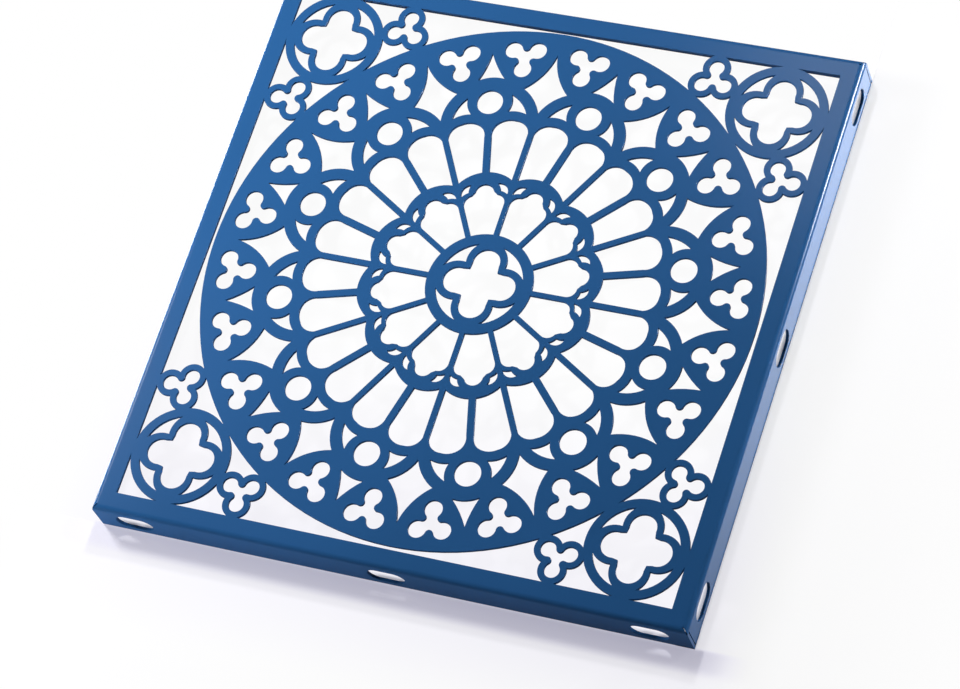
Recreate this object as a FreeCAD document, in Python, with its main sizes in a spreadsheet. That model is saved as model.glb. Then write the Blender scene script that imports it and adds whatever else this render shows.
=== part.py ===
import FreeCAD, Part
import math
import os

import Sketcher

# A square aluminium sheet with rose-window tracery, folded on four edges into an
# open-backed tray. The panel lies face up on the rear edges of its four returns.
# The origin is the centre of the tray at the level of those rear edges, +Z is the
# way that the decorative face looks, and -Y is the panel's bottom edge.

# Driving sizes, in millimetres and degrees

SIZES = {
    "panel_side": 300,
    "panel_depth": 19,
    "sheet_thickness": 1.6,
    "bend_radius": 2.6,
    "border_width": 10,
    "corner_seam": 0.6,
    "mitre_gap": 0.3,
    "cut_overrun": 1,
    # oblong fixing slots in each return
    "slot_length": 19,
    "slot_width": 11,
    "slot_pitch": 130,
    "slot_drop": 10.3,
    # the rose
    "rose_radius": 138.3,
    "petal_count": 12,
    "weld_bite": 0.25,
    # centre medallion
    "hub_radius": 26.6,
    "hub_bore_radius": 21.4,
    "hub_lobe_radius": 6.8,
    "hub_lobe_reach": 11.5,
    "hub_cusp_place": 7.1,
    "hub_crescent_corner": 10.1,
    # ring of twelve cusped inner petals
    "inner_spoke_width": 2.7,
    "shoulder_radius": 4.7,
    "shoulder_reach": 43.2,
    "cusp_reach": 48.3,
    "cusp_angle": 7.5,
    "crown_radius": 4.65,
    "crown_reach": 48.9,
    "crown_half_angle": 78,
    # small windows behind the cusps
    "window_inner_reach": 48.8,
    "window_inner_angle": 1.6,
    "window_outer_reach": 54,
    "window_outer_angle": 7.9,
    "window_heel_reach": 50.2,
    "window_heel_angle": 5.9,
    "window_back_radius": 4.6,
    "window_crown_radius": 6.3,
    "window_shoulder_radius": 8,
    # ring of twenty-four round-headed outer petals
    "scallop_reach": 41.1,
    "scallop_radius": 19.2,
    "thin_spoke_width": 3.05,
    "thick_spoke_width": 3.65,
    "thin_side_reach": 82.4,
    "thick_side_reach": 79.3,
    "head_first_reach": 88.6,
    "head_first_angle": 6.1,
    "head_second_reach": 86.3,
    "head_second_angle": 12.2,
    "head_first_radius": 7.5,
    "head_crown_radius": 9.6,
    "head_second_radius": 7.6,
    # roundels and the slivers beside them
    "roundel_reach": 98.95,
    "roundel_radius": 6.5,
    "sliver_inner_reach": 92.6,
    "sliver_inner_angle": 3.5,
    "sliver_outer_reach": 102.7,
    "sliver_outer_angle": 8.8,
    "sliver_heel_reach": 93.4,
    "sliver_heel_angle": 9.4,
    "sliver_back_radius": 19.3,
    "sliver_roundel_radius": 10.6,
    "sliver_petal_radius": 14.4,
    # four-pointed stars
    "star_inner_reach": 93.7,
    "star_side_reach": 106.5,
    "star_side_angle": 6.1,
    "star_outer_reach": 126.5,
    "star_inner_radius": 22.5,
    "star_outer_radius": 33.7,
    # small curved triangles outside the roundels
    "dart_base_reach": 111.7,
    "dart_base_angle": 3.4,
    "dart_tip_reach": 126.1,
    "dart_base_radius": 18.5,
    "dart_side_radius": 51,
    # ring of twenty-four trefoils
    "leaf_reach": 124.1,
    "leaf_lobe_reach": 7,
    "leaf_lobe_radius": 4.4,
    "leaf_cusp_reach": 5.4,
    # corner medallions
    "corner_bore_radius": 20.5,
    "corner_lobe_radius": 6.55,
    "corner_lobe_reach": 10.7,
    "corner_cusp_place": 7,
    "corner_crescent_corner": 9.7,
    "lobe_wrap_angle": 8,
    "crescent_tip_angle": 16.5,
    "crescent_side_radius": 11.3,
    # outlined trefoils that tie the corner medallions to the rose and the border
    "tie_bite": 0.5,
    "tie_turn": -4,
    "tie_radius": 6.9,
    "tie_lobe_reach": 6.3,
    "tie_hole_radius": 3.75,
    "tie_cusp_reach": 4.6,
}

QUARTER = 90
THIRD = 120


class Size:
    """A number together with the sheet formula that it comes from."""

    def __init__(self, value, text):
        self.value = value
        self.text = text

    def __add__(self, other):
        other = as_size(other)
        return Size(self.value + other.value, f"({self.text} + {other.text})")

    def __sub__(self, other):
        other = as_size(other)
        return Size(self.value - other.value, f"({self.text} - {other.text})")

    def __mul__(self, other):
        other = as_size(other)
        return Size(self.value * other.value, f"({self.text} * {other.text})")

    def __truediv__(self, other):
        other = as_size(other)
        return Size(self.value / other.value, f"({self.text} / {other.text})")

    def __radd__(self, other):
        return as_size(other) + self

    def __rsub__(self, other):
        return as_size(other) - self

    def __rmul__(self, other):
        return as_size(other) * self

    def __rtruediv__(self, other):
        return as_size(other) / self

    def __neg__(self):
        return Size(-self.value, f"(-{self.text})")


def as_size(number):
    """The number itself, or a plain number as a size."""
    return number if isinstance(number, Size) else Size(float(number), repr(number))


def cosine(angle):
    angle = as_size(angle)
    return Size(math.cos(math.radians(angle.value)), f"cos({angle.text})")


def sine(angle):
    angle = as_size(angle)
    return Size(math.sin(math.radians(angle.value)), f"sin({angle.text})")


def root(number):
    return Size(math.sqrt(number.value), f"sqrt({number.text})")


def square(number):
    return number * number


# Points in the plane of a sketch

def polar(reach, angle):
    """The point at a distance from the origin, on a ray at an angle."""
    return (reach * cosine(angle), reach * sine(angle))


def beside_ray(along, offset, angle):
    """The point beside a ray: so far along it, and so far to its left."""
    x = along * cosine(angle) - offset * sine(angle)
    y = along * sine(angle) + offset * cosine(angle)
    return (x, y)


def turned(point, angle):
    return beside_ray(point[0], point[1], angle)


def moved(point, step):
    return (point[0] + step[0], point[1] + step[1])


def flipped(point):
    """The point's image in the X axis."""
    return (point[0], -point[1])


def between(first, second, share):
    """The point that lies a share of the way from the first to the second."""
    x = first[0] + (second[0] - first[0]) * share
    y = first[1] + (second[1] - first[1]) * share
    return (x, y)


# Sides of a loop that is walked with its inside on the left

STRAIGHT = None


def bulge(radius):
    """An arc of less than half a circle that swells out of the loop."""
    return (as_size(radius), 1, False)


def dent(radius):
    """An arc of less than half a circle that presses into the loop."""
    return (as_size(radius), -1, False)


def lobe(radius):
    """An arc of more than half a circle that swells out of the loop."""
    return (as_size(radius), 1, True)


def half_circle(radius):
    """An arc of just half a circle that swells out of the loop."""
    return (as_size(radius), 1, None)


def flipped_loop(corners, sides):
    """A loop's image in the X axis, still walked with its inside on the left."""
    back = [flipped(corner) for corner in reversed(corners)]
    return back, sides[-2::-1] + sides[-1:]


def turned_loop(corners, sides, angle):
    return [turned(corner, angle) for corner in corners], sides


def moved_loop(corners, sides, step):
    return [moved(corner, step) for corner in corners], sides


class Drawing:
    """A sketch on one origin plane of a body, with every size tied to the sheet."""

    def __init__(self, body, name, plane="XY_Plane", level=None):
        self.sketch = body.newObject("Sketcher::SketchObject", name)
        origin_plane = [f for f in body.Origin.OriginFeatures if f.Role == plane][0]
        self.sketch.AttachmentSupport = [(origin_plane, "")]
        self.sketch.MapMode = "FlatFace"
        if level is not None:
            self.sketch.setExpression("AttachmentOffset.Base.z", level.text)
        self.count = 0

    def tie(self, kind, places, size):
        """Adds one dimension and binds it to the size's formula."""
        index = self.sketch.addConstraint(Sketcher.Constraint(kind, *places, size.value))
        self.count += 1
        name = f"size_{self.count}"
        self.sketch.renameConstraint(index, name)
        self.sketch.setExpression(f"Constraints.{name}", size.text)

    def pin(self, edge, end, point):
        self.tie("DistanceX", (edge, end), as_size(point[0]))
        self.tie("DistanceY", (edge, end), as_size(point[1]))

    def circle(self, centre, radius):
        x, y = (as_size(c).value for c in centre)
        shape = Part.Circle(FreeCAD.Vector(x, y, 0), FreeCAD.Vector(0, 0, 1), radius.value)
        edge = self.sketch.addGeometry(shape, False)
        if x == 0 and y == 0:
            self.sketch.addConstraint(Sketcher.Constraint("Coincident", edge, 3, -1, 1))
        else:
            self.pin(edge, 3, centre)
        self.tie("Radius", (edge,), radius)

    def loop(self, corners, sides):
        """Draws a closed loop of lines and arcs and pins its corners and radii."""
        points = [FreeCAD.Vector(as_size(x).value, as_size(y).value, 0) for x, y in corners]
        edges = []
        for number, side in enumerate(sides):
            start = points[number]
            end = points[(number + 1) % len(points)]
            edges.append(self.side(start, end, side))
        for number, corner in enumerate(corners):
            edge, first, last = edges[number]
            before, before_first, before_last = edges[number - 1]
            self.sketch.addConstraint(
                Sketcher.Constraint("Coincident", before, before_last, edge, first)
            )
            self.pin(edge, first, corner)
        for number, side in enumerate(sides):
            edge = edges[number][0]
            if side is STRAIGHT:
                continue
            if side[2] is None:
                middle = between(corners[number], corners[(number + 1) % len(corners)], 1 / 2)
                self.tie("DistanceX", (edge, 3), middle[0])
            else:
                self.tie("Radius", (edge,), side[0])

    def slot(self, centre, length, width):
        """Draws an oblong hole with round ends, long way along the sketch's X."""
        reach = (length - width) / 2
        rise = width / 2
        corners = [
            moved(centre, (-reach, -rise)),
            moved(centre, (reach, -rise)),
            moved(centre, (reach, rise)),
            moved(centre, (-reach, rise)),
        ]
        self.loop(corners, [STRAIGHT, half_circle(rise)] * 2)

    def loops(self, loops):
        for corners, sides in loops:
            self.loop(corners, sides)

    def side(self, start, end, side):
        """Draws one side and returns its number and the names of its two ends."""
        if side is STRAIGHT:
            return self.sketch.addGeometry(Part.LineSegment(start, end), False), 1, 2
        radius, outward, long_way = side
        chord = end - start
        left = FreeCAD.Vector(-chord.y, chord.x, 0).normalize()
        height = math.sqrt(max(0, radius.value**2 - (chord.Length / 2) ** 2))
        toward = outward if not long_way else -outward
        centre = (start + end) * 0.5 + left * height * toward
        first, last = (start, end) if outward > 0 else (end, start)
        angles = [math.atan2(p.y - centre.y, p.x - centre.x) for p in (first, last)]
        ring = Part.Circle(centre, FreeCAD.Vector(0, 0, 1), radius.value)
        edge = self.sketch.addGeometry(Part.ArcOfCircle(ring, *angles), False)
        return (edge, 1, 2) if outward > 0 else (edge, 2, 1)


# Features of a body

def add_pad(body, drawing, length, middle=False):
    pad = body.newObject("PartDesign::Pad", drawing.sketch.Name + "_pad")
    pad.Profile = drawing.sketch
    pad.Midplane = middle
    pad.setExpression("Length", length.text)
    DOC.recompute()
    return pad


def add_pocket(body, drawing, upward=True):
    """Cuts a drawing through the whole body, upward or downward from its plane."""
    before = body.Shape.Volume
    pocket = body.newObject("PartDesign::Pocket", drawing.sketch.Name + "_cut")
    pocket.Profile = drawing.sketch
    pocket.Type = "ThroughAll"
    pocket.Reversed = upward
    DOC.recompute()
    if before - body.Shape.Volume < before / 10**6:
        raise RuntimeError(f"{pocket.Name} cuts nothing")
    return pocket


def add_turns(body, feature, occurrences):
    """Repeats a feature round the body's Z axis."""
    axis = [f for f in body.Origin.OriginFeatures if f.Role == "Z_Axis"][0]
    pattern = body.newObject("PartDesign::PolarPattern", feature.Name + "_ring")
    pattern.Originals = [feature]
    pattern.Axis = (axis, [""])
    pattern.Angle = 4 * QUARTER
    pattern.setExpression("Occurrences", as_size(occurrences).text)
    body.Tip = pattern
    DOC.recompute()
    return pattern


# The sheet that holds the sizes

DOC = FreeCAD.newDocument("TraceryPanel")
SHEET = DOC.addObject("Spreadsheet::Sheet", "Sizes")
for row, (alias, number) in enumerate(SIZES.items(), start=1):
    SHEET.set(f"A{row}", alias.replace("_", " "))
    SHEET.set(f"B{row}", str(number))
    SHEET.setAlias(f"B{row}", alias)
DOC.recompute()
S = {alias: Size(float(number), f"Sizes.{alias}") for alias, number in SIZES.items()}

half_side = S["panel_side"] / 2
flat_half = half_side - S["bend_radius"]
window_half = half_side - S["border_width"]
half_turn = 180 / S["petal_count"]
CORNER_TURNS = 4


# Outlines that come back at several places

def square_loop(half):
    corners = [(-half, -half), (half, -half), (half, half), (-half, half)]
    return corners, [STRAIGHT] * 4


def quatrefoil_loop(lobe_radius, lobe_reach, cusp_place):
    """Four round lobes on the axes, with a blunt cusp between each pair."""
    corners = []
    sides = []
    for number in range(4):
        angle = QUARTER * number
        wrap = S["lobe_wrap_angle"]
        back = lobe_reach - lobe_radius * sine(wrap)
        wide = lobe_radius * cosine(wrap)
        corners.append(turned((back, -wide), angle))
        corners.append(turned((back, wide), angle))
        corners.append(turned((cusp_place, cusp_place), angle))
        sides += [lobe(lobe_radius), STRAIGHT, STRAIGHT]
    return corners, sides


def crescent_loop(corner_place, bore_radius):
    """The sliver between two lobes of a quatrefoil and the ring around it."""
    corners = [
        (corner_place, corner_place),
        polar(bore_radius, S["crescent_tip_angle"]),
        polar(bore_radius, QUARTER - S["crescent_tip_angle"]),
    ]
    return corners, [dent(S["crescent_side_radius"]), bulge(bore_radius), dent(S["crescent_side_radius"])]


def trefoil_loop(lobe_reach, lobe_radius, cusp_reach, first_angle):
    """Three round lobes joined by round cusps that touch both their lobes."""
    span = root(
        square(lobe_reach) + square(cusp_reach) - 2 * lobe_reach * cusp_reach * cosine(THIRD / 2)
    )
    share = lobe_radius / span
    corners = []
    sides = []
    for number in range(3):
        angle = first_angle + THIRD * number
        tip = polar(lobe_reach, angle)
        before = polar(cusp_reach, angle - THIRD / 2)
        after = polar(cusp_reach, angle + THIRD / 2)
        corners.append(between(tip, before, share))
        corners.append(between(tip, after, share))
        sides += [lobe(lobe_radius), dent(span - lobe_radius)]
    return corners, sides


def tie_outline_loop(first_angle):
    """Three overlapping discs, the outline of a trefoil that stands free."""
    half_gap = S["tie_lobe_reach"] * sine(THIRD / 2)
    notch = S["tie_lobe_reach"] * cosine(THIRD / 2) + root(square(S["tie_radius"]) - square(half_gap))
    corners = [polar(notch, first_angle + THIRD * (n - 0.5)) for n in range(3)]
    return corners, [lobe(S["tie_radius"])] * 3


# The face: border, rose, corner medallions and ties, then every cut-out

def corner_medallion():
    """Centre and radius of the ring that touches the rose and both borders."""
    diagonal = window_half * math.sqrt(2)
    radius = (diagonal - S["rose_radius"]) / (1 + math.sqrt(2)) + S["weld_bite"]
    place = (S["rose_radius"] - S["weld_bite"] + radius) / math.sqrt(2)
    return (place, place), radius


def tie_centre():
    """Centre of the trefoil whose lobes touch the right border and the rose."""
    turn = S["tie_turn"]
    grip = S["tie_radius"] - S["tie_bite"]
    x = window_half - grip - S["tie_lobe_reach"] * cosine(turn)
    foot_x = x + S["tie_lobe_reach"] * cosine(turn - THIRD)
    foot_y = root(square(S["rose_radius"] + grip) - square(foot_x))
    return (x, foot_y - S["tie_lobe_reach"] * sine(turn - THIRD))


def pair_across_diagonal(corners, sides):
    """A loop and its image in the line at 45 degrees."""
    low = turned_loop(corners, sides, -QUARTER / 2)
    high = flipped_loop(*low)
    return [turned_loop(*low, QUARTER / 2), turned_loop(*high, QUARTER / 2)]


def petal_loop():
    """One cusped petal about the X axis, between two spokes."""
    spoke = S["inner_spoke_width"] / 2
    low_ray = -half_turn
    inner = beside_ray(root(square(S["hub_radius"]) - square(spoke)), spoke, low_ray)
    seat = S["shoulder_radius"] + spoke
    rise = (S["shoulder_reach"] * sine(half_turn) - seat) / cosine(half_turn)
    along = S["shoulder_reach"] * cosine(half_turn) + rise * sine(half_turn)
    low = [
        inner,
        beside_ray(along, spoke, low_ray),
        polar(S["cusp_reach"], -S["cusp_angle"]),
        moved((S["crown_reach"], 0), polar(S["crown_radius"], -S["crown_half_angle"])),
    ]
    corners = low + [flipped(corner) for corner in reversed(low)]
    shoulder = bulge(S["shoulder_radius"])
    crown = bulge(S["crown_radius"])
    sides = [STRAIGHT, shoulder, STRAIGHT, crown, STRAIGHT, shoulder, STRAIGHT, dent(S["hub_radius"])]
    return corners, sides


def cusp_window_loop():
    corners = [
        polar(S["window_inner_reach"], S["window_inner_angle"]),
        polar(S["window_outer_reach"], S["window_outer_angle"]),
        polar(S["window_heel_reach"], S["window_heel_angle"]),
    ]
    sides = [
        bulge(S["window_back_radius"]),
        dent(S["window_crown_radius"]),
        dent(S["window_shoulder_radius"]),
    ]
    return corners, sides


def outer_petal_loop():
    """One round-headed petal, from the thin spoke up to the thick one."""
    thin = S["thin_spoke_width"] / 2
    thick = S["thick_spoke_width"] / 2
    drop = thin - S["scallop_reach"] * sine(half_turn)
    thin_foot = S["scallop_reach"] * cosine(half_turn) + root(square(S["scallop_radius"]) - square(drop))
    thick_foot = S["scallop_reach"] + root(square(S["scallop_radius"]) - square(thick))
    corners = [
        (thin_foot, thin),
        (S["thin_side_reach"], thin),
        polar(S["head_first_reach"], S["head_first_angle"]),
        polar(S["head_second_reach"], S["head_second_angle"]),
        beside_ray(S["thick_side_reach"], -thick, half_turn),
        beside_ray(thick_foot, -thick, half_turn),
    ]
    sides = [
        STRAIGHT,
        bulge(S["head_first_radius"]),
        bulge(S["head_crown_radius"]),
        bulge(S["head_second_radius"]),
        STRAIGHT,
        dent(S["scallop_radius"]),
    ]
    return corners, sides


def sliver_loop():
    corners = [
        polar(S["sliver_inner_reach"], S["sliver_inner_angle"]),
        polar(S["sliver_outer_reach"], S["sliver_outer_angle"]),
        polar(S["sliver_heel_reach"], S["sliver_heel_angle"]),
    ]
    sides = [
        bulge(S["sliver_back_radius"]),
        dent(S["sliver_roundel_radius"]),
        dent(S["sliver_petal_radius"]),
    ]
    return corners, sides


def star_loop():
    corners = [
        (S["star_inner_reach"], as_size(0)),
        polar(S["star_side_reach"], -S["star_side_angle"]),
        (S["star_outer_reach"], as_size(0)),
        polar(S["star_side_reach"], S["star_side_angle"]),
    ]
    inner = dent(S["star_inner_radius"])
    outer = dent(S["star_outer_radius"])
    return corners, [inner, outer, outer, inner]


def dart_loop():
    corners = [
        polar(S["dart_base_reach"], -S["dart_base_angle"]),
        (S["dart_tip_reach"], as_size(0)),
        polar(S["dart_base_reach"], S["dart_base_angle"]),
    ]
    side = dent(S["dart_side_radius"])
    return corners, [side, side, dent(S["dart_base_radius"])]


def both_sides(loop):
    """A loop beside the X axis and its image on the other side."""
    return [loop, flipped_loop(*loop)]


def leaf_loop():
    """One trefoil of the outer ring, with a lobe towards the centre."""
    leaf = trefoil_loop(S["leaf_lobe_reach"], S["leaf_lobe_radius"], S["leaf_cusp_reach"], 2 * QUARTER)
    leaf = moved_loop(*leaf, (S["leaf_reach"], as_size(0)))
    return turned_loop(*leaf, half_turn / 2)


def hub_loops():
    """The quatrefoil in the middle and the four crescents around it."""
    crescent = crescent_loop(S["hub_crescent_corner"], S["hub_bore_radius"])
    loops = [turned_loop(*crescent, QUARTER * number) for number in range(4)]
    loops.append(quatrefoil_loop(S["hub_lobe_radius"], S["hub_lobe_reach"], S["hub_cusp_place"]))
    return loops


def rose_loops():
    """The openings of one twelfth of the rose, all but the roundel."""
    return [
        turned_loop(*petal_loop(), half_turn),
        *both_sides(cusp_window_loop()),
        *both_sides(outer_petal_loop()),
        *both_sides(sliver_loop()),
        star_loop(),
        turned_loop(*dart_loop(), half_turn),
        *both_sides(leaf_loop()),
    ]


def corner_loops(centre, tie_place):
    """The openings of one corner medallion and of its two tie trefoils."""
    crescent = crescent_loop(S["corner_crescent_corner"], S["corner_bore_radius"])
    medallion = [turned_loop(*crescent, QUARTER * number) for number in range(4)]
    medallion.append(
        quatrefoil_loop(S["corner_lobe_radius"], S["corner_lobe_reach"], S["corner_cusp_place"])
    )
    hole = trefoil_loop(
        S["tie_lobe_reach"], S["tie_hole_radius"], S["tie_cusp_reach"], S["tie_turn"]
    )
    loops = [moved_loop(*loop, centre) for loop in medallion]
    return loops + pair_across_diagonal(*moved_loop(*hole, tie_place))


def make_face():
    body = DOC.addObject("PartDesign::Body", "tracery_face")
    thickness = S["sheet_thickness"]
    body.setExpression("Placement.Base.z", (S["panel_depth"] - thickness).text)

    border = Drawing(body, "border")
    border.loop(*square_loop(flat_half))
    border.loop(*square_loop(window_half))
    add_pad(body, border, thickness)

    centre, radius = corner_medallion()
    medallion = Drawing(body, "corner_disc")
    medallion.circle(centre, radius)
    add_turns(body, add_pad(body, medallion, thickness), CORNER_TURNS)

    tie_place = tie_centre()
    tie = Drawing(body, "tie_disc")
    for loop in pair_across_diagonal(*moved_loop(*tie_outline_loop(S["tie_turn"]), tie_place)):
        tie.loop(*loop)
    add_turns(body, add_pad(body, tie, thickness), CORNER_TURNS)

    rose = Drawing(body, "rose_disc")
    rose.circle((0, 0), S["rose_radius"])
    add_pad(body, rose, thickness)

    hub = Drawing(body, "hub_openings")
    hub.loops(hub_loops())
    add_pocket(body, hub)

    sector = Drawing(body, "rose_openings")
    sector.circle(polar(S["roundel_reach"], half_turn), S["roundel_radius"])
    sector.loops(rose_loops())
    add_turns(body, add_pocket(body, sector), S["petal_count"])

    corner = Drawing(body, "corner_openings")
    corner.loops(corner_loops(centre, tie_place))
    add_turns(body, add_pocket(body, corner), CORNER_TURNS)
    return body


# The four returns

def make_return(name, turn, full_width):
    """One folded edge: its bend, its flange and three slots, drawn on the -Y side."""
    body = DOC.addObject("PartDesign::Body", name)
    depth = S["panel_depth"]
    thickness = S["sheet_thickness"]
    bend = S["bend_radius"]
    over = S["cut_overrun"]

    profile = Drawing(body, name + "_profile", "YZ_Plane")
    corners = [
        (-half_side, as_size(0)),
        (thickness - half_side, as_size(0)),
        (thickness - half_side, depth - bend),
        (-flat_half, depth - thickness),
        (-flat_half, depth),
        (-half_side, depth - bend),
    ]
    sides = [STRAIGHT, STRAIGHT, dent(bend - thickness), STRAIGHT, bulge(bend), STRAIGHT]
    profile.loop(corners, sides)
    add_pad(body, profile, S["panel_side"], middle=True)

    mitre = Drawing(body, name + "_mitre", level=depth - bend)
    gap = S["mitre_gap"]
    corners = [
        (flat_half - gap - over, over - flat_half),
        (half_side - gap + over, -half_side - over),
        (half_side + 2 * over, -half_side - over),
        (half_side + 2 * over, over - flat_half),
    ]
    mitre.loop(corners, [STRAIGHT] * 4)
    mitre.loop(*mirrored_in_y(corners))
    add_pocket(body, mitre)

    if not full_width:
        trim = Drawing(body, name + "_trim", level=depth - bend)
        end = half_side - thickness - S["corner_seam"]
        corners = [
            (end, -half_side - over),
            (half_side + over, -half_side - over),
            (half_side + over, over + thickness - half_side),
            (end, over + thickness - half_side),
        ]
        trim.loop(corners, [STRAIGHT] * 4)
        trim.loop(*mirrored_in_y(corners))
        add_pocket(body, trim, upward=False)

    slots = Drawing(body, name + "_slot", "XZ_Plane")
    slots.slot((-S["slot_pitch"], depth - S["slot_drop"]), S["slot_length"], S["slot_width"])
    cut = add_pocket(body, slots)
    row = body.newObject("PartDesign::LinearPattern", name + "_slot_row")
    row.Originals = [cut]
    row.Direction = (slots.sketch, ["H_Axis"])
    row.setExpression("Length", (2 * S["slot_pitch"]).text)
    row.Occurrences = 3
    body.Tip = row
    body.Placement.Rotation = FreeCAD.Rotation(FreeCAD.Vector(0, 0, 1), turn)
    DOC.recompute()
    return body


def mirrored_in_y(corners):
    """A straight-sided loop's image in the Y axis."""
    return [(-x, y) for x, y in reversed(corners)], [STRAIGHT] * len(corners)


make_face()
make_return("bottom_return", 0, full_width=True)
make_return("right_return", QUARTER, full_width=False)
make_return("top_return", 2 * QUARTER, full_width=True)
make_return("left_return", 3 * QUARTER, full_width=False)
DOC.recompute()

# Checks, then one file for each piece

bodies = [item for item in DOC.Objects if item.TypeId == "PartDesign::Body"]
for item in DOC.Objects:
    if "Invalid" in item.State or "Error" in item.State:
        raise RuntimeError(f"{item.Label} is in state {item.State}")
for body in bodies:
    if body.Shape.isNull() or not body.Shape.isValid() or len(body.Shape.Solids) != 1:
        raise RuntimeError(f"{body.Label} is not one valid solid")

os.makedirs("parts", exist_ok=True)
for body in bodies:
    body.Shape.exportStep(os.path.join("parts", body.Label + ".step"))
    print(f"{body.Label}: {body.Shape.Volume:.0f} cubic mm, {len(body.Shape.Faces)} faces")
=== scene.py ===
import logging
import math
from dataclasses import dataclass
from enum import Enum

import bmesh
import bpy
import numpy as np
from mathutils import Matrix, Vector


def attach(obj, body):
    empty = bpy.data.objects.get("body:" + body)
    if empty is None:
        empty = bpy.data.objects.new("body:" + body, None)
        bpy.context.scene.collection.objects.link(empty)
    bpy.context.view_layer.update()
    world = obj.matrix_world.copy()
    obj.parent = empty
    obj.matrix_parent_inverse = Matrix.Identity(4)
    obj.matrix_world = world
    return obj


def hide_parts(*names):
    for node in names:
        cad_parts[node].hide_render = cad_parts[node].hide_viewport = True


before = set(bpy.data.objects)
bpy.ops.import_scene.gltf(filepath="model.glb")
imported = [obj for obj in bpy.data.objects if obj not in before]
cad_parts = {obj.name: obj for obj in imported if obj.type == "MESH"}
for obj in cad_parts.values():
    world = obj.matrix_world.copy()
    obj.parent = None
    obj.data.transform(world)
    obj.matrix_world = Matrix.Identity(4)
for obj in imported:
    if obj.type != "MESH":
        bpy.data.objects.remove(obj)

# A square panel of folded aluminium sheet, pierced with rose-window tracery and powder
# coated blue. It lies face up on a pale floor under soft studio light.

log = logging.getLogger("panel")

Point = tuple[float, float, float]
Colour = tuple[float, float, float, float]
Stops = tuple[tuple[float, Colour], ...]

WHITE: Colour = (1.0, 1.0, 1.0, 1.0)
RIGHT_HAND = np.array([(0.0, -1.0), (1.0, 0.0)])  # turns a row (u, v) into (v, -u)
LEAST_LENGTH = 1e-12  # shortest row that counts as a direction
ROUND = 0.5  # profile of a bevel that is a circle's arc
SENSOR_WIDTH = 36.0  # millimetres
NEAREST_SEEN = 0.01  # metres from the lens


class Socket(Enum):
    """The kinds of socket that the node groups use."""

    VALUE = "NodeSocketFloat"
    COLOUR = "NodeSocketColor"
    VECTOR = "NodeSocketVector"


class Lights(Enum):
    """The surfaces that a lamp lights, as flags and mirrors sort them in a studio."""

    BOTH = "matt and gloss"
    MATT = "matt alone"
    GLOSS = "gloss alone"


class Effect:
    """A shader node group with named inputs and outputs, built once and placed often."""

    def __init__(self, name: str) -> None:
        """Starts an empty group.

        Args:
            name: the group's name in plain words.
        """
        self.tree = bpy.data.node_groups.new(name, "ShaderNodeTree")
        self.inside = self.tree.nodes.new("NodeGroupInput")
        self.outside = self.tree.nodes.new("NodeGroupOutput")

    def takes(self, name: str, kind: Socket, value: object = None) -> None:
        """Adds an input.

        Args:
            name: what the input sets.
            kind: the socket's kind.
            value: its value where nothing is linked to it.
        """
        made = self.tree.interface.new_socket(name, in_out="INPUT", socket_type=kind.value)
        if value is not None:
            made.default_value = value

    def gives(self, name: str, kind: Socket) -> None:
        """Adds an output."""
        self.tree.interface.new_socket(name, in_out="OUTPUT", socket_type=kind.value)

    def node(self, kind: str, **settings: object) -> bpy.types.Node:
        """Adds a node inside the group and returns it."""
        return add_node(self.tree, kind, **settings)

    def link(self, source: bpy.types.NodeSocket, target: bpy.types.NodeSocket) -> None:
        """Joins two sockets inside the group."""
        self.tree.links.new(source, target)


def add_node(tree: bpy.types.NodeTree, kind: str, **settings: object) -> bpy.types.Node:
    """Adds a node to a tree and sets its properties.

    Args:
        tree: the node tree.
        kind: the node type's identifier.
        settings: properties of the node by name.

    Returns:
        The new node.
    """
    made = tree.nodes.new(kind)
    for name, value in settings.items():
        setattr(made, name, value)
    return made


def orange_peel_effect() -> Effect:
    """Builds the skin of a baked powder coat.

    The height is a smooth noise of rounded cells, the peel, plus a fainter noise four
    times as fine, the grain of the powder.

    Returns:
        The group, which takes a place and the number of cells in a metre and gives a height.
    """
    cell_detail, grain_detail, grain_fineness, grain_share = 1.0, 2.0, 4.0, 0.3
    effect = Effect("orange_peel")
    effect.takes("Place", Socket.VECTOR)
    effect.takes("Cells per metre", Socket.VALUE)
    effect.takes("Grain share", Socket.VALUE, grain_share)
    effect.gives("Height", Socket.VALUE)
    cells = effect.node("ShaderNodeTexNoise", noise_dimensions="3D")
    cells.inputs["Detail"].default_value = cell_detail
    fine = effect.node("ShaderNodeTexNoise", noise_dimensions="3D")
    fine.inputs["Detail"].default_value = grain_detail
    finer = effect.node("ShaderNodeMath", operation="MULTIPLY")
    finer.inputs[1].default_value = grain_fineness
    share = effect.node("ShaderNodeMath", operation="MULTIPLY_ADD")
    effect.link(effect.inside.outputs["Place"], cells.inputs["Vector"])
    effect.link(effect.inside.outputs["Place"], fine.inputs["Vector"])
    effect.link(effect.inside.outputs["Cells per metre"], cells.inputs["Scale"])
    effect.link(effect.inside.outputs["Cells per metre"], finer.inputs[0])
    effect.link(finer.outputs[0], fine.inputs["Scale"])
    effect.link(fine.outputs["Fac"], share.inputs[0])
    effect.link(effect.inside.outputs["Grain share"], share.inputs[1])
    effect.link(cells.outputs["Fac"], share.inputs[2])
    effect.link(share.outputs[0], effect.outside.inputs["Height"])
    return effect


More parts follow.
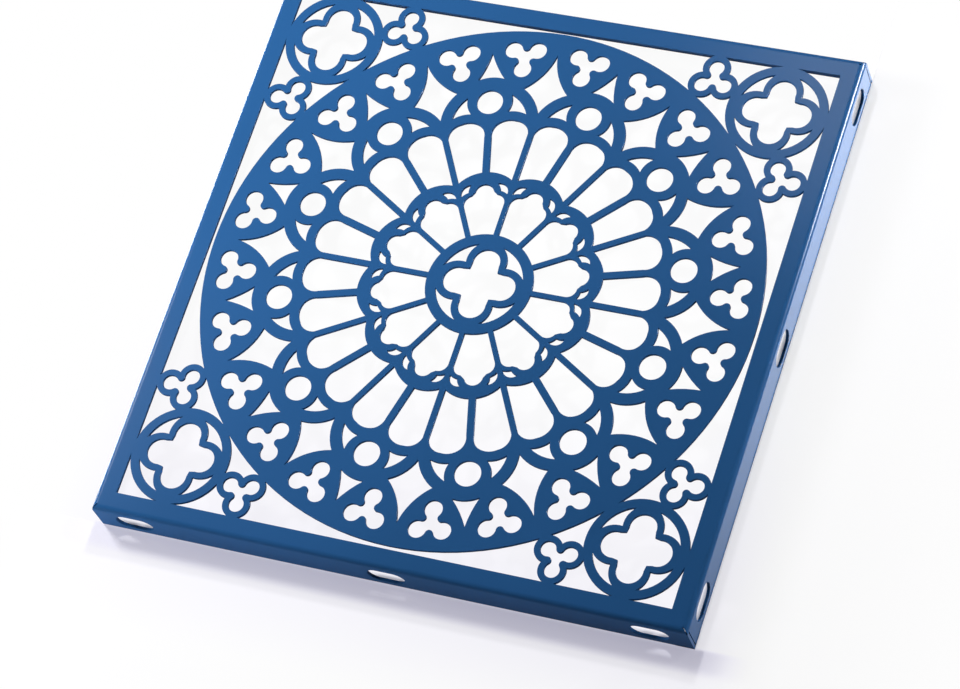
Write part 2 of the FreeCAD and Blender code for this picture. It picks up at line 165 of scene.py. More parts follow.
def cloud_effect() -> Effect:
    """Builds slow changes of tone, as a coat that went on a little thicker here and there.

    The mask is a layered noise whose middle values are spread evenly over 0 to 1. The
    colour goes from thin to thick as the mask goes from 0 to 1.

    Returns:
        The group, which takes a place and two colours and gives a colour and a mask.
    """
    clouds_per_metre, cloud_detail, lowest, highest = 12.0, 2.0, 0.35, 0.65
    effect = Effect("coat_cloud")
    effect.takes("Place", Socket.VECTOR)
    effect.takes("Clouds per metre", Socket.VALUE, clouds_per_metre)
    effect.takes("Thin", Socket.COLOUR)
    effect.takes("Thick", Socket.COLOUR)
    effect.gives("Colour", Socket.COLOUR)
    effect.gives("Mask", Socket.VALUE)
    noise = effect.node("ShaderNodeTexNoise", noise_dimensions="3D")
    noise.inputs["Detail"].default_value = cloud_detail
    spread = effect.node("ShaderNodeMapRange", clamp=True)
    spread.inputs["From Min"].default_value = lowest
    spread.inputs["From Max"].default_value = highest
    mix = effect.node("ShaderNodeMix", data_type="RGBA")
    effect.link(effect.inside.outputs["Place"], noise.inputs["Vector"])
    effect.link(effect.inside.outputs["Clouds per metre"], noise.inputs["Scale"])
    effect.link(noise.outputs["Fac"], spread.inputs["Value"])
    effect.link(spread.outputs["Result"], mix.inputs["Factor"])
    effect.link(effect.inside.outputs["Thin"], mix.inputs["A"])
    effect.link(effect.inside.outputs["Thick"], mix.inputs["B"])
    effect.link(mix.outputs["Result"], effect.outside.inputs["Colour"])
    effect.link(spread.outputs["Result"], effect.outside.inputs["Mask"])
    return effect


@dataclass(frozen=True)
class PowderCoat:
    """A satin powder coat on folded sheet.

    Attributes:
        name: the finish's name.
        thin: colour where the coat is thinnest.
        thick: colour where it is thickest.
        roughness: mean roughness of the skin.
        roughness_spread: how far the clouds move the roughness.
        gloss: specular level of the pigmented layer.
        coat: weight of the clear resin skin over the pigment.
        coat_roughness: roughness of that skin.
        peel: number of orange-peel cells in a metre.
        peel_depth: height of the peel in metres.
    """

    name: str
    thin: Colour
    thick: Colour
    roughness: float
    roughness_spread: float
    gloss: float
    coat: float
    coat_roughness: float
    peel: float
    peel_depth: float

    def material(self, peel: Effect, cloud: Effect) -> bpy.types.Material:
        """Makes the finish as a material.

        Args:
            peel: the orange-peel group.
            cloud: the tone group.

        Returns:
            The material.
        """
        made = bpy.data.materials.new(self.name)
        made.use_nodes = True
        tree = made.node_tree
        skin = tree.nodes["Principled BSDF"]
        skin.inputs["Specular IOR Level"].default_value = self.gloss
        skin.inputs["Coat Weight"].default_value = self.coat
        skin.inputs["Coat Roughness"].default_value = self.coat_roughness
        place = add_node(tree, "ShaderNodeTexCoord")
        tone = add_node(tree, "ShaderNodeGroup", node_tree=cloud.tree)
        tone.inputs["Thin"].default_value = self.thin
        tone.inputs["Thick"].default_value = self.thick
        texture = add_node(tree, "ShaderNodeGroup", node_tree=peel.tree)
        texture.inputs["Cells per metre"].default_value = self.peel
        sheen = add_node(tree, "ShaderNodeMapRange", clamp=True)
        sheen.inputs["To Min"].default_value = self.roughness - self.roughness_spread
        sheen.inputs["To Max"].default_value = self.roughness + self.roughness_spread
        relief = add_node(tree, "ShaderNodeBump")
        relief.inputs["Strength"].default_value = 1.0
        relief.inputs["Distance"].default_value = self.peel_depth
        links = tree.links
        links.new(place.outputs["Object"], tone.inputs["Place"])
        links.new(place.outputs["Object"], texture.inputs["Place"])
        links.new(tone.outputs["Colour"], skin.inputs["Base Color"])
        links.new(tone.outputs["Mask"], sheen.inputs["Value"])
        links.new(sheen.outputs["Result"], skin.inputs["Roughness"])
        links.new(texture.outputs["Height"], relief.inputs["Height"])
        links.new(relief.outputs["Normal"], skin.inputs["Normal"])
        return made


BLUE_COAT = PowderCoat(
    name="blue powder coat",
    thin=(0.018, 0.084, 0.229, 1.0),
    thick=(0.0165, 0.078, 0.211, 1.0),
    roughness=0.45,
    roughness_spread=0.04,
    gloss=0.0,
    coat=0.14,
    coat_roughness=0.22,
    peel=900.0,
    peel_depth=0.000024,
)


@dataclass
class Member:
    """One member of the folded sheet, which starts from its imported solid's mesh.

    Attributes:
        node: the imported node.
        weld: distance within which corners of the solid are one.
    """

    node: str
    weld: float = 0.000002

    def welded(self) -> bpy.types.Mesh:
        """Copies the solid's mesh and welds its loose triangles together.

        Returns:
            The copy.
        """
        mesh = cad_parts[self.node].data.copy()
        mesh.name = self.node + "_sheet"
        shell = bmesh.new()
        shell.from_mesh(mesh)
        bmesh.ops.remove_doubles(shell, verts=shell.verts, dist=self.weld)
        shell.to_mesh(mesh)
        shell.free()
        return mesh

    def piece(self, mesh: bpy.types.Mesh, material: bpy.types.Material) -> bpy.types.Object:
        """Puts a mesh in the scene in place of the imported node.

        Args:
            mesh: the finished mesh.
            material: its finish.

        Returns:
            The new piece.
        """
        mesh.materials.clear()
        mesh.materials.append(material)
        made = bpy.data.objects.new(self.node + "_sheet", mesh)
        bpy.context.scene.collection.objects.link(made)
        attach(made, "root")
        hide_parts(self.node)
        return made


@dataclass
class Rims:
    """The rims of a flat pierced plate, and the skins between them.

    Every corner of the plate lies on a rim. A corner on the front and the one straight
    behind it share one number, and each rim is walked with the metal on its right.

    Attributes:
        places: place of each corner in the plate's plane.
        following: the next corner along the rim from each corner.
        inward: direction into the metal from the step that starts at each corner.
        inward_before: the same for the step that ends at each corner.
        front_skin: triangles of the front.
        rear_skin: triangles of the rear.
        low: height of the rear skin.
        high: height of the front skin.
    """

    places: np.ndarray
    following: np.ndarray
    inward: np.ndarray
    inward_before: np.ndarray
    front_skin: np.ndarray
    rear_skin: np.ndarray
    low: float
    high: float

    @classmethod
    def read(cls, corners: np.ndarray, triangles: np.ndarray, weld: float) -> "Rims":
        """Reads the rims from a plate's mesh.

        A step (u, v) has its right-hand side at (v, -u), which points into the metal.

        Args:
            corners: places of the mesh's corners.
            triangles: its triangles, three corner numbers each.
            weld: distance within which two places are one.

        Returns:
            The rims.
        """
        low, high = corners[:, 2].min(), corners[:, 2].max()
        front = corners[:, 2] > (low + high) / 2
        on_front = front[triangles].sum(axis=1)
        walls = triangles[(on_front == 1) | (on_front == 2)]
        after = rim_steps(triangles[on_front == 2], front, len(corners))
        below = partners(walls, front, corners, weld)
        rim = np.flatnonzero(front)
        number = np.full(len(corners), -1)
        number[rim] = np.arange(len(rim))
        number[below[rim]] = np.arange(len(rim))
        places = corners[rim, :2]
        following = number[after[rim]]
        before = np.empty_like(following)
        before[following] = np.arange(len(rim))
        inward = unit(places[following] - places) @ RIGHT_HAND
        return cls(
            places=places,
            following=following,
            inward=inward,
            inward_before=inward[before],
            front_skin=number[triangles[on_front == 3]],
            rear_skin=number[triangles[on_front == 0]],
            low=low,
            high=high,
        )


@dataclass
class TraceryPlate(Member):
    """The pierced face, with the rims of its openings rounded as a powder coat rounds them.

    A profile is carried along each rim: a quarter round from the front skin into the cut
    wall, the wall, and a quarter round out to the rear skin.

    Attributes:
        ease: radius of the quarter rounds, in metres.
        ease_steps: number of facets across each of them.
        crease: turn of a rim above which its two sides are shaded apart, in degrees.
        reach_limit: longest shift of a rim's corner, as a multiple of the radius.
    """

    node: str = "tracery_face"
    ease: float = 0.00022
    ease_steps: int = 3
    crease: float = 32.0
    reach_limit: float = 2.0

    def build(self, material: bpy.types.Material) -> bpy.types.Object:
        """Builds and dresses the plate.

        Args:
            material: its finish.

        Returns:
            The new piece.
        """
        solid = self.welded()
        rims = Rims.read(*mesh_arrays(solid), self.weld)
        bpy.data.meshes.remove(solid)
        shares, heights, tilts = self.profile(rims.low, rims.high)
        count, levels = len(rims.places), len(shares)
        inset = shares[:, None, None] * self.ease * self.shifts(rims)[None]
        stacked = rims.places[None] + inset
        height = np.broadcast_to(heights[:, None, None], (levels, count, 1))
        vertices = np.concatenate([stacked, height], axis=2).reshape(-1, 3)
        quads, quad_normals = self.strips(rims, tilts)
        rear_skin = rims.rear_skin + (levels - 1) * count
        mesh = bpy.data.meshes.new(self.node + "_sheet")
        faces = quads.tolist() + rims.front_skin.tolist() + rear_skin.tolist()
        mesh.from_pydata(vertices.tolist(), [], faces)
        up = np.tile((0.0, 0.0, 1.0), (rims.front_skin.size, 1))
        down = np.tile((0.0, 0.0, -1.0), (rear_skin.size, 1))
        mesh.shade_smooth()
        mesh.normals_split_custom_set(np.concatenate([quad_normals, up, down]).tolist())
        return self.piece(mesh, material)

    def shifts(self, rims: Rims) -> np.ndarray:
        """Works out how far the profile's skin ends lie inside each corner, in radii.

        Where two steps with inward directions a and b meet, the shift is
        (a + b) / (1 + a . b), which lies one radius inside both. The divisor is held to
        2 / r^2, so that no shift is longer than the reach limit r. The corners on the fold
        stay where they are, because the returns begin there.

        Args:
            rims: the plate's rims.

        Returns:
            The shifts, one row for each corner.
        """
        turn = (rims.inward * rims.inward_before).sum(axis=1, keepdims=True)
        both = rims.inward + rims.inward_before
        shift = both / np.maximum(1 + turn, 2 / self.reach_limit**2)
        off_middle = np.abs(rims.places).max(axis=1)
        shift[off_middle > off_middle.max() - self.weld] = 0.0
        return shift

    def strips(self, rims: Rims, tilts: np.ndarray) -> tuple[np.ndarray, np.ndarray]:
        """Lays a strip of quads along the rims between each two levels of the profile.

        Where a rim turns by less than the crease, the two steps share the mean of their
        inward directions, and elsewhere each keeps its own.

        Args:
            rims: the plate's rims.
            tilts: the normal's tilt at each level.

        Returns:
            The quads, as numbers of corners, and the normals of their corners.
        """
        turn = (rims.inward * rims.inward_before).sum(axis=1)
        smooth = turn > math.cos(math.radians(self.crease))
        mean = unit(rims.inward + rims.inward_before)
        following = rims.following
        starts = np.where(smooth[:, None], mean, rims.inward)
        ends = np.where(smooth[following][:, None], mean[following], rims.inward)
        count = len(following)
        step = np.arange(count)
        quads, normals = [], []
        for level, (upper, lower) in enumerate(zip(tilts, tilts[1:])):
            here, there = level * count, (level + 1) * count
            ring = [here + step, here + following, there + following, there + step]
            facing = [tilted(starts, upper), tilted(ends, upper)]
            facing += [tilted(ends, lower), tilted(starts, lower)]
            quads.append(np.column_stack(ring))
            normals.append(np.stack(facing, axis=1))
        return np.concatenate(quads), np.concatenate(normals).reshape(-1, 3)

    def profile(self, low: float, high: float) -> tuple[np.ndarray, np.ndarray, np.ndarray]:
        """Works out the profile that is carried along each rim.

        At a turn t from the skin, the quarter round lies 1 - sin t of its radius inside the
        rim and 1 - cos t of its radius below the skin, and its normal is tilted by t.

        Args:
            low: height of the rear skin.
            high: height of the front skin.

        Returns:
            The shares of the radius, the heights and the tilts, from the front to the rear.
        """
        turn = np.linspace(0.0, math.pi / 2, self.ease_steps + 1)
        share = 1 - np.sin(turn)
        drop = self.ease * (1 - np.cos(turn))
        shares = np.concatenate([share, share[::-1]])
        heights = np.concatenate([high - drop, (low + drop)[::-1]])
        tilts = np.concatenate([turn, (math.pi - turn)[::-1]])
        return shares, heights, tilts


@dataclass
class Return(Member):
    """One folded edge of the sheet, with its slots' rims eased as a powder coat eases them.

    Attributes:
        flat: angle below which two facets are one flat skin, in degrees.
        cut: angle above which two facets meet in a cut edge, in degrees.
        crease: angle above which two facets of the finished mesh are shaded apart.
        ease: width of the eased edge, in metres.
        ease_steps: number of facets across it.
        rim_low: height above which the slots lie.
        rim_high: height below which they lie.
        rim_reach: distance from the middle, along the return, within which they lie.
    """

    flat: float = 0.5
    cut: float = 50.0
    crease: float = 32.0
    ease: float = 0.0003
    ease_steps: int = 3
    rim_low: float = 0.002
    rim_high: float = 0.0155
    rim_reach: float = 0.143

    def build(self, material: bpy.types.Material) -> bpy.types.Object:
        """Builds and dresses the return.

        Args:
            material: its finish.

        Returns:
            The new piece.
        """
        mesh = self.welded()
        shell = bmesh.new()
        shell.from_mesh(mesh)
        bmesh.ops.dissolve_limit(
            shell, angle_limit=math.radians(self.flat), verts=shell.verts, edges=shell.edges
        )
        rims = [edge for edge in shell.edges if self.is_rim(edge)]
        bmesh.ops.bevel(
            shell,
            geom=rims,
            offset=self.ease,
            offset_type="OFFSET",
            segments=self.ease_steps,
            profile=ROUND,
            affect="EDGES",
            clamp_overlap=False,
        )
        shell.to_mesh(mesh)
        shell.free()
        mesh.shade_smooth()
        mesh.set_sharp_from_angle(angle=math.radians(self.crease))
        made = self.piece(mesh, material)
        flat = made.modifiers.new("flat skins", "WEIGHTED_NORMAL")
        flat.keep_sharp = True
        return made

    def is_rim(self, edge: bmesh.types.BMEdge) -> bool:
        """Tells whether an edge is a piece of a slot's rim.

        Args:
            edge: the edge.

        Returns:
            True on the rim of a slot.
        """
        if not edge.is_manifold or edge.calc_face_angle() < math.radians(self.cut):
            return False
        return all(
            self.rim_low < corner.co.z < self.rim_high
            and min(abs(corner.co.x), abs(corner.co.y)) < self.rim_reach
            for corner in edge.verts
        )


@dataclass
class FoldedSheet:
    """The folded, pierced sheet: a face and four returns that meet at the fold lines.

    Attributes:
        finish: the powder coat.
        returns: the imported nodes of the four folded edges.
    """

    finish: PowderCoat
    returns: tuple[str, ...] = ("bottom_return", "top_return", "left_return", "right_return")

    def build(self, peel: Effect, cloud: Effect) -> list[bpy.types.Object]:
        """Builds and dresses every member.

        Args:
            peel: the orange-peel group.
            cloud: the tone group.

        Returns:
            The new pieces.
        """
        material = self.finish.material(peel, cloud)
        pieces = [TraceryPlate().build(material)]
        pieces += [Return(node).build(material) for node in self.returns]
        return pieces


def mesh_arrays(mesh: bpy.types.Mesh) -> tuple[np.ndarray, np.ndarray]:
    """Reads a mesh of triangles.

    Args:
        mesh: the mesh.

    Returns:
        Its corners, one row each, and its triangles, three corner numbers each.
    """
    corners = np.empty(len(mesh.vertices) * 3)
    mesh.vertices.foreach_get("co", corners)
    triangles = np.empty(len(mesh.loops), dtype=np.int64)
    mesh.loops.foreach_get("vertex_index", triangles)
    return corners.reshape(-1, 3), triangles.reshape(-1, 3)


def rim_steps(walls: np.ndarray, front: np.ndarray, count: int) -> np.ndarray:
    """Finds the next corner along the front rim from each of its corners.

    A wall's triangle with two front corners holds one step of the rim. The step runs in the
    triangle's own order, which leaves the metal on its right.

    Args:
        walls: triangles of the cut walls that have two front corners.
        front: whether each corner is on the front.
        count: number of corners.

    Returns:
        The next corner of each corner, or -1.
    """
    after = np.full(count, -1)
    for place in range(3):
        start, end = walls[:, place], walls[:, (place + 1) % 3]
        both = front[start] & front[end]
        after[start[both]] = end[both]
    return after


def partners(
    walls: np.ndarray, front: np.ndarray, corners: np.ndarray, weld: float
) -> np.ndarray:
    """Finds the rear corner straight behind each front corner.

    Args:
        walls: the triangles of the cut walls.
        front: whether each corner is on the front.
        corners: places of the corners.
        weld: distance within which two places are one.

    Returns:
        The partner of each front corner, or -1.
    """
    below = np.full(len(corners), -1)
    for place in range(3):
        for other in (1, 2):
            start, end = walls[:, place], walls[:, (place + other) % 3]
            apart = np.abs(corners[start, :2] - corners[end, :2]).max(axis=1)
            pair = front[start] & ~front[end] & (apart < weld)
            below[start[pair]] = end[pair]
    return below


def unit(rows: np.ndarray) -> np.ndarray:
    """Scales each row to length one."""
    return rows / np.maximum(np.linalg.norm(rows, axis=1, keepdims=True), LEAST_LENGTH)


def tilted(inward: np.ndarray, tilt: float) -> np.ndarray:
    """Turns outward normals of a rim towards the front.

    Args:
        inward: directions in the sheet's plane that point into the metal.
        tilt: turn away from the front, in radians.

    Returns:
        The normals, whose height is cos(tilt) and whose reach out of the metal is sin(tilt).
    """
    flat = -inward * math.sin(tilt)
    return np.column_stack([flat, np.full(len(flat), math.cos(tilt))])


@dataclass
class Floor:
    """A plain pale floor that keeps the panel's shadow and looks white where it is lit.

    Its glow is seen by camera, glossy and transmission rays alone. Its share by place paints
    shade and shadow on the floor: two ramps set it, and the lesser of them holds. The first
    is read at the larger of x and -y, paints shade at the inner foot of the right and bottom
    returns and just outside them, and fades past the panel's left and top, where the strip
    of painted shade at the inner foot ends at once. The second is read at -y, paints a lilac
    shadow band in front of the bottom return and faint lilac shade under the panel's lower
    part, and fades past the panel's sides. The glow is also out under the border's lower
    right corner, which paints shade there.

    Attributes:
        side: length of the floor's side in metres.
        drop: how far it lies under the panel's rear edges.
        colour: its own colour.
        reach: distance from the middle at which both ramps end.
        inside: distance, colour and share of the glow at each stop of the first ramp, which
            paint shade at the inner foot of the returns and just outside them.
        front: the same for the second, which paint a lilac shadow band in front of the panel
            and faint lilac shade under its lower part.
        corner: x and -y above which the glow is out under the corner, painting shade there.
        edge: half the panel's width.
        side_fade: length past the panel's sides over which the painted front shadow fades.
        end_fade: length past the panel's left and top over which the first ramp's painted
            shade fades.
    """

    side: float = 8.0
    drop: float = 0.0004
    colour: Colour = (0.9, 0.89, 0.93, 1.0)
    reach: float = 0.3
    # Painted shade: a share of 0 at the inner foot of the right and bottom returns, and low
    # shares just outside them, darken the floor there.
    inside: Stops = (
        (0.120, (1.0, 1.0, 1.0, 0.95)),
        (0.1460, (0.98, 0.98, 1.0, 0.95)),
        (0.1468, (0.96, 0.96, 1.0, 0.0)),
        (0.1494, (0.96, 0.96, 1.0, 0.0)),
        (0.1502, (1.0, 1.0, 1.0, 0.74)),
        (0.175, (1.0, 1.0, 1.0, 0.84)),
        (0.280, (1.0, 1.0, 1.0, 0.97)),
    )
    # Painted shadow: the low shares and lilac colours from 0.1502 to 0.2 make the shadow
    # band in front of the bottom return, and the faint lilac stops before them shade the
    # floor under the panel's lower part.
    front: Stops = (
        (0.030, (1.0, 1.0, 1.0, 1.0)),
        (0.105, (0.96, 0.95, 0.99, 0.94)),
        (0.1494, (0.95, 0.94, 0.99, 0.92)),
        (0.1502, (0.82, 0.80, 0.98, 0.46)),
        (0.159, (0.86, 0.84, 1.0, 0.52)),
        (0.163, (0.95, 0.94, 1.0, 0.74)),
        (0.200, (1.0, 1.0, 1.0, 0.90)),
        (0.270, (1.0, 1.0, 1.0, 0.98)),
    )
    corner: float = 0.1408
    edge: float = 0.15
    side_fade: float = 0.03
    end_fade: float = 0.05

    def build(self) -> bpy.types.Object:
        """Builds the floor.

        Returns:
            The floor.
        """
        half = self.side / 2
        corners = np.array([(-half, -half), (half, -half), (half, half), (-half, half)])
        corners = np.column_stack([corners, np.full(4, -self.drop)])
        mesh = bpy.data.meshes.new("floor")
        mesh.from_pydata(corners.tolist(), [], [(0, 1, 2, 3)])
        floor = bpy.data.objects.new("floor", mesh)
        bpy.context.scene.collection.objects.link(floor)
        mesh.materials.append(self.material())
        return floor

    def material(self) -> bpy.types.Material:
        """Makes the floor's material.

        Returns:
            A matt surface, mixed with a glow for camera, glossy and transmission rays, whose
            share and tint by place paint shade and shadow.
        """
        made = bpy.data.materials.new("pale floor")
        made.use_nodes = True
        tree = made.node_tree
        tree.nodes.clear()
        out = add_node(tree, "ShaderNodeOutputMaterial")
        matt = add_node(tree, "ShaderNodeBsdfDiffuse")
        matt.inputs["Color"].default_value = self.colour
        glow = add_node(tree, "ShaderNodeEmission")
        mix = add_node(tree, "ShaderNodeMixShader")
        share = add_node(tree, "ShaderNodeMath", operation="MULTIPLY")
        painted_shadow_tint, strength = self.glow_with_painted_shade(tree)
        tree.links.new(painted_shadow_tint, glow.inputs["Color"])
        tree.links.new(strength, share.inputs[0])
        tree.links.new(seen_rays(tree), share.inputs[1])
        tree.links.new(share.outputs[0], mix.inputs["Fac"])
        tree.links.new(matt.outputs[0], mix.inputs[1])
        tree.links.new(glow.outputs[0], mix.inputs[2])
        tree.links.new(mix.outputs[0], out.inputs["Surface"])
        return made

    def glow_with_painted_shade(
        self, tree: bpy.types.NodeTree
    ) -> tuple[bpy.types.NodeSocket, bpy.types.NodeSocket]:
        """Adds the nodes whose glow colour and share by place paint shade and shadow.

        Args:
            tree: the material's node tree.

        Returns:
            The sockets of the colour and of the share.
        """
        place = add_node(tree, "ShaderNodeTexCoord")
        parts = add_node(tree, "ShaderNodeSeparateXYZ")
        tree.links.new(place.outputs["Object"], parts.inputs[0])
        x, y = parts.outputs["X"], parts.outputs["Y"]
        ahead = math_step(tree, "MULTIPLY", y, -1.0)
        leftward = math_step(tree, "MULTIPLY", x, -1.0)
        far = math_step(tree, "MAXIMUM", x, ahead)
        near = math_step(tree, "MINIMUM", x, ahead)
        past = math_step(tree, "MAXIMUM", leftward, y)
        aside = math_step(tree, "ABSOLUTE", x, 0.0)
        first, second = self.ramp(tree, self.inside, far), self.ramp(tree, self.front, ahead)

        under = math_step(tree, "LESS_THAN", far, self.edge)
        outside = math_step(tree, "GREATER_THAN", past, self.edge)
        cut_off = math_step(tree, "MULTIPLY", under, outside)
        along = fade_past(tree, past, self.edge, self.end_fade)
        first_held = math_step(tree, "MULTIPLY", along, inverse(tree, cut_off))
        second_held = fade_past(tree, aside, self.edge, self.side_fade)

        # Painted shade: where a ramp's share falls, less glow shows and the floor goes
        # darker, at the returns' inner foot, just outside them and in the shadow band in
        # front of the bottom return.
        painted_return_shade = inverse(tree, first.outputs["Alpha"])
        painted_front_shadow = inverse(tree, second.outputs["Alpha"])
        painted_return_shade = math_step(tree, "MULTIPLY", painted_return_shade, first_held)
        painted_front_shadow = math_step(tree, "MULTIPLY", painted_front_shadow, second_held)
        painted_shade = math_step(tree, "MAXIMUM", painted_return_shade, painted_front_shadow)
        # Painted shade under the border's lower right corner: the glow is out there.
        deep = math_step(tree, "GREATER_THAN", near, self.corner)
        painted_corner_shade = math_step(tree, "MULTIPLY", deep, under)
        share = math_step(tree, "MULTIPLY", inverse(tree, painted_shade), inverse(tree, painted_corner_shade))

        # The glow's colour: the ramps' greyed and lilac stops paint the tint of the shade
        # and of the shadow band.
        paler = add_node(tree, "ShaderNodeMix", data_type="RGBA")
        paler.inputs["A"].default_value = WHITE
        tree.links.new(first_held, paler.inputs["Factor"])
        tree.links.new(first.outputs["Color"], paler.inputs["B"])
        painted_shadow_tint = add_node(tree, "ShaderNodeMix", data_type="RGBA", blend_type="MULTIPLY")
        tree.links.new(second_held, painted_shadow_tint.inputs["Factor"])
        tree.links.new(paler.outputs["Result"], painted_shadow_tint.inputs["A"])
        tree.links.new(second.outputs["Color"], painted_shadow_tint.inputs["B"])
        return painted_shadow_tint.outputs["Result"], share

    def ramp(
        self, tree: bpy.types.NodeTree, stops: Stops, distance: bpy.types.NodeSocket
    ) -> bpy.types.Node:
        """Adds a ramp with the stops.

        Args:
            tree: the material's node tree.
            stops: distance and colour of each stop, with the glow's share as its alpha.
            distance: the socket that gives the distance in metres.

        Returns:
            The ramp.
        """
        made = add_node(tree, "ShaderNodeValToRGB")
        marks = made.color_ramp.elements
        while len(marks) < len(stops):
            marks.new(1.0)
        for mark, (stop, colour) in zip(marks, stops):
            mark.position = stop / self.reach
            mark.color = colour
        tree.links.new(math_step(tree, "DIVIDE", distance, self.reach), made.inputs["Fac"])
        return made


def math_step(
    tree: bpy.types.NodeTree, kind: str, first: object, second: object
) -> bpy.types.NodeSocket:
    """Adds a Math node.

    Args:
        tree: the node tree.
        kind: the node's operation.
        first: its first input, a socket or a number.
        second: its second input, likewise.

    Returns:
        Its output.
    """
    made = add_node(tree, "ShaderNodeMath", operation=kind)
    for socket, value in zip(made.inputs, (first, second)):
        if isinstance(value, bpy.types.NodeSocket):
            tree.links.new(value, socket)
        else:
            socket.default_value = value
    return made.outputs[0]


def inverse(tree: bpy.types.NodeTree, mask: bpy.types.NodeSocket) -> bpy.types.NodeSocket:
    """Adds a node that gives 1 less the mask."""
    return math_step(tree, "SUBTRACT", 1.0, mask)


def fade_past(
    tree: bpy.types.NodeTree, place: bpy.types.NodeSocket, start: float, length: float
) -> bpy.types.NodeSocket:
    """Adds a mask that is 1 up to a place and falls smoothly to 0 over a length past it.

    Args:
        tree: the node tree.
        place: the socket that gives the place in metres.
        start: where the fall begins.
        length: how long it is.

    Returns:
        The mask.
    """
    rise = add_node(tree, "ShaderNodeMapRange", clamp=True, interpolation_type="SMOOTHSTEP")
    rise.inputs["From Min"].default_value = start
    rise.inputs["From Max"].default_value = start + length
    tree.links.new(place, rise.inputs["Value"])
    return inverse(tree, rise.outputs["Result"])


def seen_rays(tree: bpy.types.NodeTree) -> bpy.types.NodeSocket:
    """Adds a mask of the rays by which a background is seen, directly or in a surface.

    Args:
        tree: the node tree that gets the mask.

    Returns:
        A socket that is 1 for camera, glossy and transmission rays and 0 for others.
    """
    path = add_node(tree, "ShaderNodeLightPath")
    either = add_node(tree, "ShaderNodeMath", operation="MAXIMUM")
    any_of = add_node(tree, "ShaderNodeMath", operation="MAXIMUM")
    tree.links.new(path.outputs["Is Camera Ray"], either.inputs[0])
    tree.links.new(path.outputs["Is Glossy Ray"], either.inputs[1])
    tree.links.new(either.outputs[0], any_of.inputs[0])
    tree.links.new(path.outputs["Is Transmission Ray"], any_of.inputs[1])
    return any_of.outputs[0]


@dataclass(frozen=True)
class Softbox:
    """A square or oblong soft lamp that faces a point.

    Attributes:
        name: the lamp's name.
        place: its centre.
        aim: the point that it faces.
        width: its width in metres.
        height: its height in metres.
        watts: its power.
        lights: the kind of surface that it lights.
        fade: shares of its strength at the two ends of its height.
    """

    name: str
    place: Point
    aim: Point
    width: float
    height: float
    watts: float
    lights: Lights = Lights.BOTH
    fade: tuple[float, float] = (1.0, 1.0)

    def build(self) -> bpy.types.Object:
        """Builds the lamp, which lights the scene and stays out of the picture.

        Returns:
            The lamp.
        """
        data = bpy.data.lights.new(self.name, "AREA")
        data.shape = "RECTANGLE"
        data.size = self.width
        data.size_y = self.height
        data.energy = self.watts
        lamp = bpy.data.objects.new(self.name, data)
        lamp.location = self.place
        toward = Vector(self.aim) - Vector(self.place)
        lamp.rotation_euler = toward.to_track_quat("-Z", "Y").to_euler()
        lamp.visible_camera = False
        lamp.visible_diffuse = self.lights is not Lights.GLOSS
        lamp.visible_glossy = self.lights is not Lights.MATT
        bpy.context.scene.collection.objects.link(lamp)
        if self.fade[0] != self.fade[1]:
            self.grade(data)
        return lamp

    def grade(self, data: bpy.types.AreaLight) -> None:
        """Makes the lamp's strength change evenly from one end of its height to the other.

        Args:
            data: the lamp's data.
        """
        data.use_nodes = True
        tree = data.node_tree
        glow = tree.nodes["Emission"]
        face = add_node(tree, "ShaderNodeNewGeometry")
        along = add_node(tree, "ShaderNodeSeparateXYZ")
        share = add_node(tree, "ShaderNodeMapRange", clamp=True)
        share.inputs["To Min"].default_value = self.fade[0]
        share.inputs["To Max"].default_value = self.fade[1]
        tree.links.new(face.outputs["Parametric"], along.inputs[0])
        tree.links.new(along.outputs["Y"], share.inputs["Value"])
        tree.links.new(share.outputs["Result"], glow.inputs["Strength"])


# The two table lamps lie on the floor and face up. Their aims stand 0.1 mm off the upright,
# which turns their heights along y.
LAMPS = (
    Softbox(
        name="left lamp",
        place=(-0.42, 0.06, 0.34),
        aim=(0.0, 0.0, 0.0),
        width=0.12,
        height=0.12,
        watts=2.7,
    ),
    Softbox(
        name="back lamp",
        place=(0.0, 0.36, 0.58),
        aim=(0.0, 0.0, 0.0),
        width=0.05,
        height=0.05,
        watts=2.9,
        lights=Lights.MATT,
    ),
    Softbox(
        name="back sheen",
        place=(-0.03, 0.47, 0.62),
        aim=(0.1, 0.1, 0.0),
        width=0.16,
        height=0.16,
        watts=1.3,
        lights=Lights.GLOSS,
    ),
    Softbox(
        name="rim lamp",
        place=(0.5, 0.2, 0.045),
        aim=(0.1, 0.05, 0.01),
        width=0.12,
        height=0.07,
        watts=2.2,
        lights=Lights.MATT,
    ),
    Softbox(
        name="rim glint",
        place=(0.46, 0.27, 0.095),
        aim=(0.15, 0.11, 0.015),
        width=0.1,
        height=0.1,
        watts=14.0,
        lights=Lights.GLOSS,
    ),
    Softbox(
        name="front fill",
        place=(-0.34, -0.4, 0.08),
        aim=(-0.12, -0.1, 0.0),
        width=0.2,
        height=0.1,
        watts=0.95,
        lights=Lights.MATT,
    ),
    Softbox(
        name="right table",
        place=(0.1562, 0.01, 0.0008),
        aim=(0.1562, 0.0101, 1.0),
        width=0.012,
        height=0.34,
        watts=0.22,
        lights=Lights.GLOSS,
        fade=(0.05, 1.0),
    ),
    Softbox(
        name="left table",
        place=(-0.21, 0.02, 0.0008),
        aim=(-0.21, 0.0201, 1.0),
        width=0.11,
        height=0.3,
        watts=3.6,
        lights=Lights.GLOSS,
    ),
)


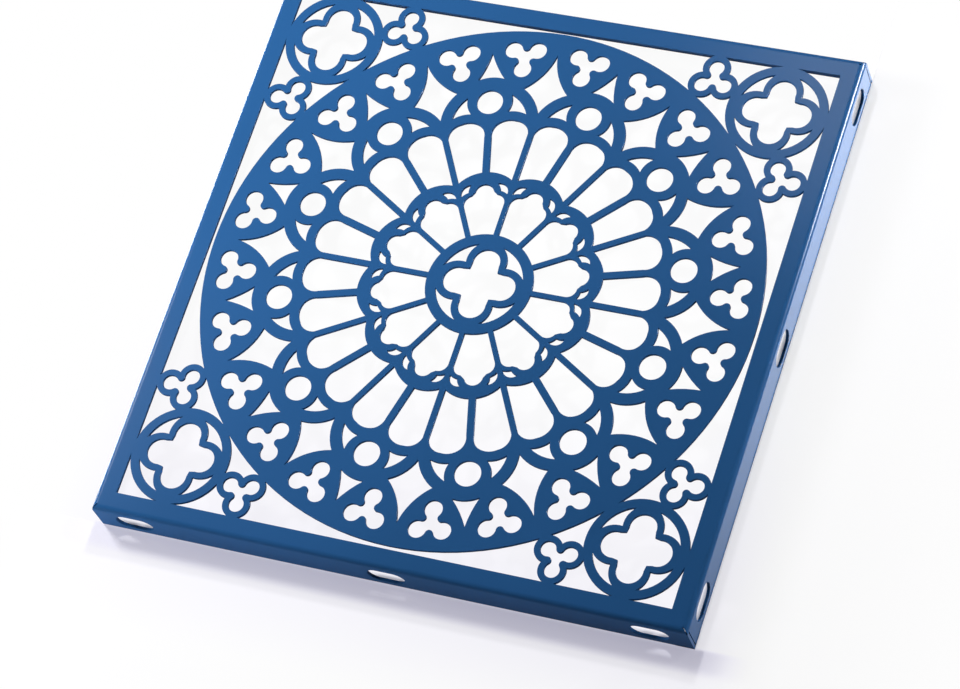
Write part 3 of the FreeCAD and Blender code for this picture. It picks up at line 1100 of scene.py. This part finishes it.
@dataclass
class Studio:
    """The room's light: soft lamps, a pale wall round the horizon and a dark ceiling.

    Attributes:
        lamps: the soft lamps.
        wall: colour of the wall at the horizon.
        ceiling: colour overhead.
        wall_top: height at which the wall ends, as the sine of its elevation.
        ceiling_start: height at which the ceiling starts, likewise.
    """

    lamps: tuple[Softbox, ...]
    wall: Colour = (0.1, 0.1, 0.1, 1.0)
    ceiling: Colour = (0.0, 0.0, 0.0, 1.0)
    wall_top: float = 0.25
    ceiling_start: float = 0.6

    def build(self) -> None:
        """Builds the lamps and the world."""
        for lamp in self.lamps:
            lamp.build()
        world = bpy.data.worlds.new("studio")
        bpy.context.scene.world = world
        world.use_nodes = True
        tree = world.node_tree
        background = tree.nodes["Background"]
        place = add_node(tree, "ShaderNodeTexCoord")
        split = add_node(tree, "ShaderNodeSeparateXYZ")
        height = add_node(tree, "ShaderNodeMapRange", clamp=True)
        height.inputs["From Min"].default_value = self.wall_top
        height.inputs["From Max"].default_value = self.ceiling_start
        mix = add_node(tree, "ShaderNodeMix", data_type="RGBA")
        mix.inputs["A"].default_value = self.wall
        mix.inputs["B"].default_value = self.ceiling
        tree.links.new(place.outputs["Generated"], split.inputs[0])
        tree.links.new(split.outputs["Z"], height.inputs["Value"])
        tree.links.new(height.outputs["Result"], mix.inputs["Factor"])
        tree.links.new(mix.outputs["Result"], background.inputs["Color"])


@dataclass
class PhotoCamera:
    """The camera that took the photograph, worked out from the panel's perspective.

    Attributes:
        place: the lens's centre.
        aim: the point on the face that the picture's middle shows.
        roll: turn of the picture about the line of sight, in degrees.
        lens: focal length in millimetres on a 36 mm wide sensor.
    """

    place: Point = (0.67901, -0.74101, 1.70388)
    aim: Point = (0.01061, -0.03065, 0.019)
    roll: float = -28.4346
    lens: float = 155.21

    def build(self) -> bpy.types.Object:
        """Builds the camera and makes it the scene's.

        Returns:
            The camera.
        """
        data = bpy.data.cameras.new("camera")
        data.lens = self.lens
        data.sensor_width = SENSOR_WIDTH
        data.clip_start = NEAREST_SEEN
        camera = bpy.data.objects.new("camera", data)
        toward = Vector(self.aim) - Vector(self.place)
        level = toward.to_track_quat("-Z", "Y").to_matrix()
        turn = Matrix.Rotation(math.radians(self.roll), 3, "Z")
        camera.matrix_world = Matrix.Translation(self.place) @ (level @ turn).to_4x4()
        bpy.context.scene.collection.objects.link(camera)
        bpy.context.scene.camera = camera
        return camera


def main() -> None:
    """Builds the panel, the studio and the camera, and reports each piece."""
    logging.basicConfig(level=logging.INFO, format="%(name)s: %(message)s")
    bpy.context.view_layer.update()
    bpy.context.scene.view_settings.view_transform = "Standard"
    sheet = FoldedSheet(finish=BLUE_COAT)
    for piece in sheet.build(orange_peel_effect(), cloud_effect()):
        log.info("%s rides on root", piece.name)
    Floor().build()
    Studio(lamps=LAMPS).build()
    PhotoCamera().build()


if __name__ == "__main__":
    main()
